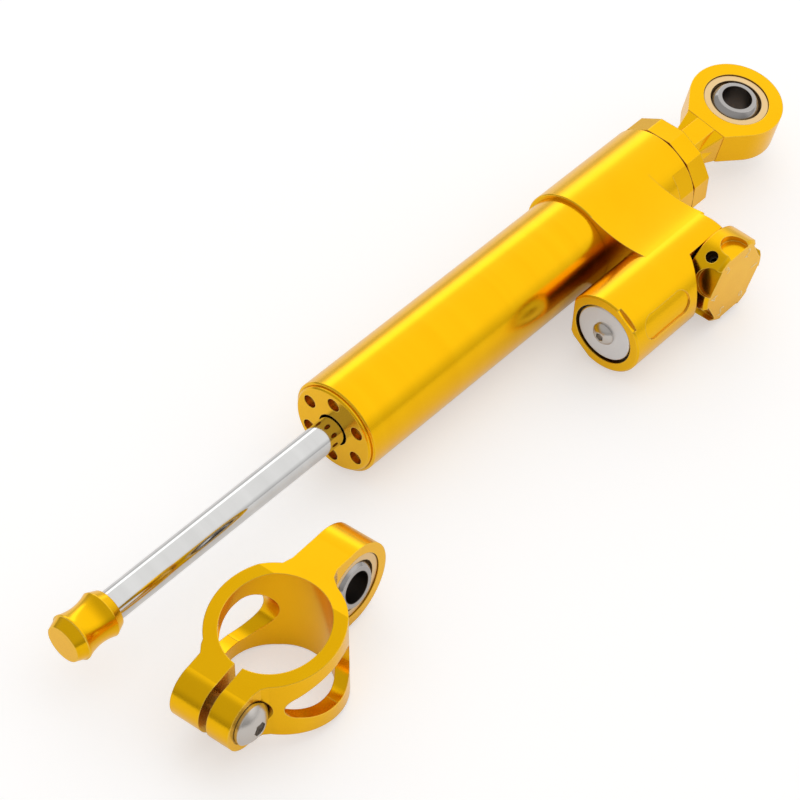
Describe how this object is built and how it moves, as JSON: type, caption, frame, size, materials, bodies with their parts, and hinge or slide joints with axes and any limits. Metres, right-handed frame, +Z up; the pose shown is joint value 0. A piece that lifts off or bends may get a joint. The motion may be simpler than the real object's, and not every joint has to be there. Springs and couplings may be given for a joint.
{
  "type": "motorcycle steering damper",
  "caption": "Linear steering damper: anodised barrel with a sliding polished rod, side reservoir, scalloped damping knob, rod eye and a separate split barrel clamp with its own eye.",
  "frame": {"origin": "middle of the exposed barrel tube, on its axis", "axes": "+X along the barrel towards the rod eye, +Y away from the reservoir, +Z up from the surface it lies on"},
  "size_m": [0.318, 0.081, 0.034],
  "materials": {
    "gold_aluminium": "glossy gold anodised",
    "black_rubber": "matte",
    "bush_bronze": "turned",
    "race_brass": "satin",
    "bare_aluminium": "turned",
    "bright_steel": "polished",
    "dark_steel": "black oxide",
    "rod_chrome": "hard chrome, polished"
  },
  "bodies": {
    "barrel": {"barrel_tube": "gold_aluminium", "front_gland": "gold_aluminium", "front_gland_oring": "black_rubber", "front_wiper": "black_rubber", "front_rod_bush": "bush_bronze", "front_rod_seal": "black_rubber", "head_block": "gold_aluminium", "tube_gasket": "black_rubber", "rear_gland_nut": "gold_aluminium", "rear_rod_bush": "bush_bronze", "rear_rod_seal": "black_rubber", "rear_wiper": "black_rubber", "reservoir_cap": "bare_aluminium", "reservoir_snap_ring": "dark_steel", "reservoir_cap_screw": "bright_steel", "reservoir_cap_oring": "black_rubber", "valve_bush": "bush_bronze"},
    "ring": {"piston_ring": "dark_steel"},
    "rod": {"piston_rod": "rod_chrome", "piston": "bare_aluminium", "piston_nut": "dark_steel", "rod_end_cap": "gold_aluminium", "rod_eye": "gold_aluminium", "eye_race": "race_brass"},
    "rod_ball": {"eye_ball": "bright_steel"},
    "compensator": {"compensator_piston": "bare_aluminium", "compensator_oring": "black_rubber"},
    "knob": {"adjuster_knob": "gold_aluminium", "knob_grub_screw": "dark_steel", "adjuster_spindle": "bright_steel"},
    "needle": {"valve_needle": "bright_steel"},
    "clamp": {"clamp_ring": "gold_aluminium", "clamp_race": "race_brass", "clamp_bolt": "bright_steel"},
    "clamp_ball_body": {"clamp_ball": "bright_steel"}
  },
  "joints": [
    {"name": "rod_stroke", "type": "slide", "parent": "barrel", "child": "ring", "axis": [1, 0, 0], "range_m": [0, 0.088]},
    {"name": "rod_spin", "type": "hinge", "parent": "ring", "child": "rod", "pos_m": [0, 0, 0], "axis": [1, 0, 0], "continuous": true},
    {"name": "rod_ball_tilt", "type": "hinge", "parent": "rod", "child": "rod_ball", "pos_m": [0.1393, 0, 0], "axis": [0, 0.9763, 0.2164], "range_deg": [-12, 12]},
    {"name": "compensator_slide", "type": "slide", "parent": "barrel", "child": "compensator", "axis": [1, 0, 0], "range_m": [-0.006, 0.0025], "stiffness_N_per_m": 1500},
    {"name": "knob_turn", "type": "hinge", "parent": "barrel", "child": "knob", "pos_m": [0.076, 0, 0], "axis": [0, -0.9986, -0.0519], "range_deg": [0, 300]},
    {"name": "needle_lift", "type": "slide", "parent": "barrel", "child": "needle", "axis": [0, -0.9986, -0.0519], "range_m": [0, 0.00084]},
    {"name": "clamp_lift", "type": "slide", "parent": "barrel", "child": "clamp", "axis": [0, 0, 1], "range_m": [0, 0.06]},
    {"name": "clamp_ball_tilt", "type": "hinge", "parent": "clamp", "child": "clamp_ball_body", "pos_m": [-0.09486, -0.03833, -0.0018], "axis": [0, 0, 1], "range_deg": [-12, 12]}
  ],
  "couplings": [
    {"joint": "needle_lift", "follows": "knob_turn", "m_per_rad": 0.00015915}
  ]
}
